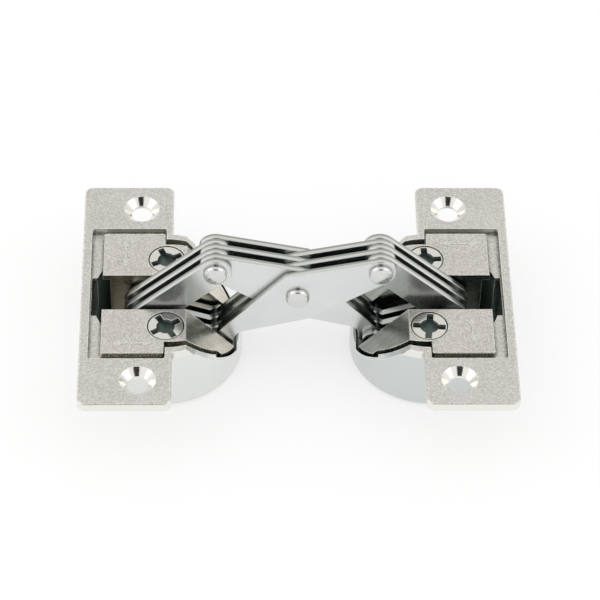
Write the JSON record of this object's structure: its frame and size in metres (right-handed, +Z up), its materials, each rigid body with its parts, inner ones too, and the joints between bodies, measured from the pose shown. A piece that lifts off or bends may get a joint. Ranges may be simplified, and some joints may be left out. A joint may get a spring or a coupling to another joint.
{
  "type": "miter hinge",
  "caption": "Concealed hinge for mitred panels, lying open: round cups with screw plates, joined by crossed and interleaved steel links that fold a quarter turn.",
  "frame": {"origin": "centre of the open hinge, on the plane that the two cup floors stand on", "axes": "+X across both plates from left to right, +Y along the pivots towards the back, +Z up, out of the panels' inner faces"},
  "size_m": [0.1076, 0.073, 0.0362],
  "materials": {
    "satin_nickel": "satin nickel plate on die-cast zinc",
    "plate_steel": "polished nickel plate on steel",
    "polished_steel": "polished",
    "zinc_steel": "zinc plated"
  },
  "bodies": {
    "left_housing": {"left_housing": "satin_nickel"},
    "left_carrier": {"left_carrier": "satin_nickel", "left_arm_pin": "polished_steel", "left_link_pin": "polished_steel", "left_spacer_1": "plate_steel", "left_spacer_2": "plate_steel", "left_spacer_3": "plate_steel"},
    "left_arm": {"left_arm_plate_1": "plate_steel", "left_arm_plate_2": "plate_steel", "left_arm_plate_3": "plate_steel", "centre_rivet": "polished_steel", "right_knuckle_rivet": "polished_steel"},
    "right_arm": {"right_arm_plate_1": "plate_steel", "right_arm_plate_2": "plate_steel", "right_arm_plate_3": "plate_steel", "left_knuckle_rivet": "polished_steel"},
    "left_link": {"left_link_plate_1": "plate_steel", "left_link_plate_2": "plate_steel", "left_link_plate_3": "plate_steel"},
    "right_link": {"right_link_plate_1": "plate_steel", "right_link_plate_2": "plate_steel", "right_link_plate_3": "plate_steel"},
    "right_carrier": {"right_carrier": "satin_nickel", "right_arm_pin": "polished_steel", "right_link_pin": "polished_steel", "right_spacer_1": "plate_steel", "right_spacer_2": "plate_steel", "right_spacer_3": "plate_steel"},
    "right_housing": {"right_housing": "satin_nickel"},
    "left_front_screw": {"left_front_screw": "zinc_steel"},
    "left_back_screw": {"left_back_screw": "zinc_steel"},
    "right_front_screw": {"right_front_screw": "zinc_steel"},
    "right_back_screw": {"right_back_screw": "zinc_steel"}
  },
  "joints": [
    {"name": "left_carrier_shift", "type": "slide", "parent": "left_housing", "child": "left_carrier", "axis": [-1, 0, 0], "range_m": [0, 0.001]},
    {"name": "fold", "type": "hinge", "parent": "left_carrier", "child": "left_arm", "pos_m": [-0.0195, 0, 0.007], "axis": [0, -1, 0], "range_deg": [0, 85.71]},
    {"name": "centre_pivot", "type": "hinge", "parent": "left_arm", "child": "right_arm", "pos_m": [0, 0, 0.0237], "axis": [0, -1, 0], "range_deg": [-82, 0]},
    {"name": "right_arm_pivot", "type": "hinge", "parent": "right_arm", "child": "right_carrier", "pos_m": [0.0195, 0, 0.007], "axis": [0, -1, 0], "range_deg": [0, 86]},
    {"name": "left_knuckle", "type": "hinge", "parent": "right_arm", "child": "left_link", "pos_m": [-0.0203, 0, 0.0322], "axis": [0, -1, 0], "range_deg": [0, 81]},
    {"name": "right_knuckle", "type": "hinge", "parent": "left_arm", "child": "right_link", "pos_m": [0.0203, 0, 0.0322], "axis": [0, -1, 0], "range_deg": [-81, 0]},
    {"name": "right_carrier_shift", "type": "slide", "parent": "right_carrier", "child": "right_housing", "axis": [0, 1, 0], "range_m": [-0.0008, 0.0008]},
    {"name": "left_front_screw_turn", "type": "hinge", "parent": "left_carrier", "child": "left_front_screw", "pos_m": [-0.0326, -0.0112, 0.02], "axis": [0, 0, 1], "continuous": true},
    {"name": "left_back_screw_turn", "type": "hinge", "parent": "left_carrier", "child": "left_back_screw", "pos_m": [-0.0326, 0.0112, 0.02], "axis": [0, 0, 1], "continuous": true},
    {"name": "right_front_screw_turn", "type": "hinge", "parent": "right_carrier", "child": "right_front_screw", "pos_m": [0.0326, -0.0112, 0.02], "axis": [0, 0, 1], "continuous": true},
    {"name": "right_back_screw_turn", "type": "hinge", "parent": "right_carrier", "child": "right_back_screw", "pos_m": [0.0326, 0.0112, 0.02], "axis": [0, 0, 1], "continuous": true}
  ],
  "couplings": [
    {"joint": "centre_pivot", "follows": "fold", "ratio": -0.9499},
    {"joint": "right_arm_pivot", "follows": "fold", "ratio": 1},
    {"joint": "left_knuckle", "follows": "fold", "ratio": 0.9412},
    {"joint": "right_knuckle", "follows": "fold", "ratio": -0.9412}
  ]
}
